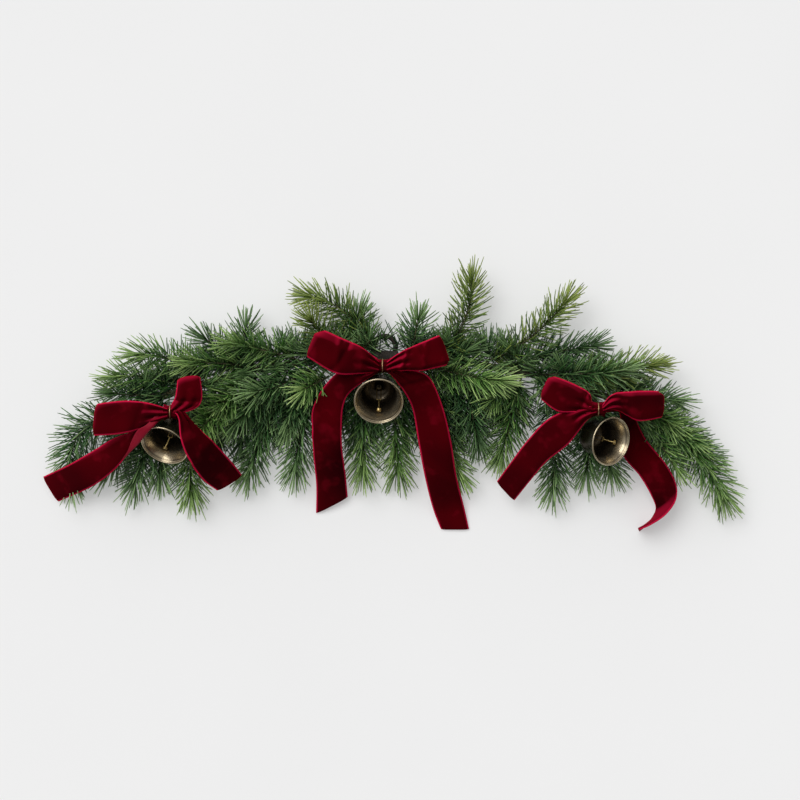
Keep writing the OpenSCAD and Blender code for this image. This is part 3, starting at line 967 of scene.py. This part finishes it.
# Creases: where each starts along its strip, how far it slants across, depth and width, in mm.
CREASES = {
    ("centre", 0): [(34, 12, -2.4, 3), (48, -6, 1.8, 3)],
    ("centre", 1): [(15, 8, -2.2, 2.5), (25, -9, 2.4, 2.5), (36, 12, -2.4, 2.5), (46, -8, 1.6, 3)],
    ("centre", 2): [(98, 52, 2.6, 5)],
    ("centre", 3): [(26, 14, -1.6, 4), (120, 40, 1.2, 8)],
    ("left", 0): [(26, 8, -1.8, 4)],
    ("left", 1): [(16, 6, -1.8, 2.5)],
    ("left", 2): [(46, 16, -2.0, 5)],
    ("left", 3): [(58, -14, 2.2, 6)],
    ("right", 0): [(14, -6, -2.0, 2.5)],
    ("right", 1): [(20, 8, -2.2, 3), (34, 4, 1.4, 4)],
    ("right", 2): [(44, 10, -1.8, 6)],
    ("right", 3): [(64, 20, -2.4, 6)],
}
# A fold along a strip: how far across it lies, and its height in mm.
RIDGES = {
    ("centre", 0): (0.24, 5.0), ("centre", 1): (0.85, 2.5),
    ("right", 0): (0.14, 2.5), ("right", 1): (0.16, 3.5),
}
# The left bow's tail curls over on itself: its edge, the fold and the free edge, from the pinch outwards.
LEFT_FOLD = [
    [[-234, -76, 79], [-236, -76, 86], [-241, -73, 87]],
    [[-245, -81, 77], [-244, -86, 90], [-251, -84, 91]],
    [[-255, -86, 75], [-252, -94, 87], [-261, -90, 88]],
    [[-264, -96, 72], [-262, -105, 78], [-268, -100, 79]],
    [[-272, -110, 66], [-271, -113, 70], [-274, -112, 71]],
    [[-279, -119, 61], [-279, -121, 63], [-280, -120, 64]],
]


def turned_edge(parts, rails):
    """A part of the ribbon that curls over, so that its back shows."""
    rows = smooth_line(from_surface(rails), 41)
    sheet = off_the_bells(np.swapaxes(smooth_line(np.swapaxes(rows, 0, 1), 13), 0, 1))
    COVER.add(sheet)
    out = unit(np.cross(np.gradient(sheet, axis=1), np.gradient(sheet, axis=0)))
    two_sided(parts, sheet, out, 1, (1, 0, 0), edge=0.0, nap=0.5)


PINCHES = {"left": ((-227, -71, 82), 8), "centre": ((-2, -22, 71), 10), "right": ((227, -68, 81), 8)}


def make_bow(side):
    parts = MeshParts(("edge", "nap"))
    length = sum(ribbon_strip(parts, edges, CREASES.get((side, i), ()), RIDGES.get((side, i), (0.5, 0.0)))
                 for i, edges in enumerate(BOWS[side]))
    if side == "left":
        turned_edge(parts, LEFT_FOLD)
    centre, half = PINCHES[side]
    pinched_core(parts, from_surface(centre), half * MM)
    made = parts.build("ribbon_" + side, [MATERIALS["velvet"], MATERIALS["satin"], MATERIALS["velvet"]])
    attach(made, "root")
    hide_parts("bow_" + side)


# ---------------------------------------------------------------- bells and wires

def inner_painted_light(depth):
    """How bright a bell's inside is painted at a depth in mm: a painted shadow in the groove, a painted
    reflection as a bright band, then darker deep inside.
    """
    return float(np.interp(depth, [1.6, 2.2, 3, 4.5, 9, 14, 38], [0.6, 0.15, 0.25, 0.95, 0.8, 0.25, 0.05]))


def make_bell(side):
    """A turned cup with a rolled lip, on the axis of its CAD bell."""
    hinge, out = bell_axis(side)
    first, second = square_to(out)
    mouth_r, mouth_h = BELL_MOUTH
    # The third value of each profile point is the brass mask: dark outside and lighter to the lip, the lip
    # rubbed bright, and the inside painted by depth.
    outer = [(bell_radius(h), h, 0.02 + 0.3 * (h / mouth_h) ** 4)
             for h in np.linspace(0.2 * MM, mouth_h - 2 * LIP_BEAD, 40)]
    lip = [(mouth_r - LIP_BEAD + LIP_BEAD * math.cos(a), mouth_h - LIP_BEAD + LIP_BEAD * math.sin(a), 1.0)
           for a in np.linspace(-0.9, math.pi + 0.5, 12)]
    inner = [(bell_radius(h) - BELL_WALL, max(h, BELL_WALL), inner_painted_light((mouth_h - h) / MM))
             for h in np.linspace(mouth_h - 2 * LIP_BEAD, 1.5 * MM, 40)]
    inner = [p for p in inner if p[0] > 1.2 * MM]
    profile = [(CROWN_HOLE, 0.0, 0.1)] + outer + lip + inner + [(CROWN_HOLE, BELL_WALL, 0.0)]
    sides = 128
    angles = np.arange(sides) * 2 * math.pi / sides
    circle = np.outer(np.cos(angles), first) + np.outer(np.sin(angles), second)
    points = np.vstack([hinge + out * (CROWN_GAP + h) + r * circle for r, h, _ in profile])
    faces = ring_faces(len(profile), sides, closed=True)
    parts = MeshParts(("wear_and_painted_light", "depth"))
    parts.add(points, faces, 0, wear_and_painted_light=np.repeat([p[2] for p in profile], sides),
              depth=np.repeat([p[1] for p in profile], sides))
    made = parts.build("bell_" + side + "_turned", [MATERIALS["brass"]])
    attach(made, "bell_" + side)
    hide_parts("bell_cup_" + side)


def paint(name, material):
    mesh = NODES[name].data
    mesh.materials.clear()
    mesh.materials.append(material)


for side in BOWS:
    make_bow(side)
    make_bell(side)
    paint("bell_staple_" + side, MATERIALS["dull_wire"])
    paint("clapper_" + side, MATERIALS["clapper"])
    paint("tie_wire_" + side, MATERIALS["bright_wire"])
COVER.widen()
for name in sorted(NODES):
    if name.startswith("tip_"):
        pine_spray(name)
make_stem()
make_binding()
make_hanging_loop()


# ---------------------------------------------------------------- floor, light, camera

def make_floor():
    bpy.ops.mesh.primitive_plane_add(size=12, location=(0, 0, FLOOR_Z - 0.5 * MM))
    floor = bpy.context.object
    floor.name = "floor"
    s = Shader("floor_paint")
    s.colour(s.ramp(s.noise(3.0), [(0.3, "#c4c4c4"), (0.7, "#c6c6c6")]))
    s.set(Roughness=0.9, Specular_IOR_Level=0.1, Emission_Strength=0.3)
    s.bsdf.inputs["Emission Color"].default_value = (1.0, 1.0, 1.0, 1.0)
    floor.data.materials.append(s.material)


def make_light():
    world = bpy.data.worlds.new("studio")
    world.use_nodes = True
    tree = world.node_tree
    background = tree.nodes["Background"]
    background.inputs["Strength"].default_value = 0.61
    side = tree.nodes.new("ShaderNodeVectorMath")
    side.operation = "DOT_PRODUCT"
    side.inputs[1].default_value = (-0.45, 0.75, 0.48)
    tree.links.new(tree.nodes.new("ShaderNodeTexCoord").outputs["Generated"], side.inputs[0])
    ramp = tree.nodes.new("ShaderNodeValToRGB")
    ramp.color_ramp.elements[0].position = 0.1
    ramp.color_ramp.elements[0].color = (0.45, 0.45, 0.45, 1.0)
    ramp.color_ramp.elements[1].position = 0.85
    ramp.color_ramp.elements[1].color = (1.7, 1.7, 1.7, 1.0)
    tree.links.new(side.outputs["Value"], ramp.inputs["Fac"])
    tree.links.new(ramp.outputs["Color"], background.inputs["Color"])
    bpy.context.scene.world = world
    data = bpy.data.lights.new("key", "SUN")
    data.energy = 1.6
    data.angle = math.radians(40)
    lamp = bpy.data.objects.new("key", data)
    lamp.rotation_mode = "QUATERNION"
    lamp.rotation_quaternion = Vector((0.5, -0.55, -1.0)).to_track_quat("-Z", "Y")
    lamp.location = (-1.0, 1.1, 2.0)
    bpy.context.scene.collection.objects.link(lamp)


def make_camera():
    """Straight down on the swag's face, with the hanging loop's side up in the picture."""
    middle_height = 30 * MM
    distance = 2000 * MM
    view_width = 872 * MM
    camera = bpy.data.cameras.new("camera")
    camera.sensor_width = 36
    camera.lens = 36 * distance / view_width
    made = bpy.data.objects.new("camera", camera)
    made.location = (16.7 * MM, -58.2 * MM, FLOOR_Z + middle_height + distance)
    bpy.context.scene.collection.objects.link(made)
    bpy.context.scene.camera = made


make_floor()
make_light()
make_camera()
bpy.context.scene.view_settings.view_transform = "Standard"
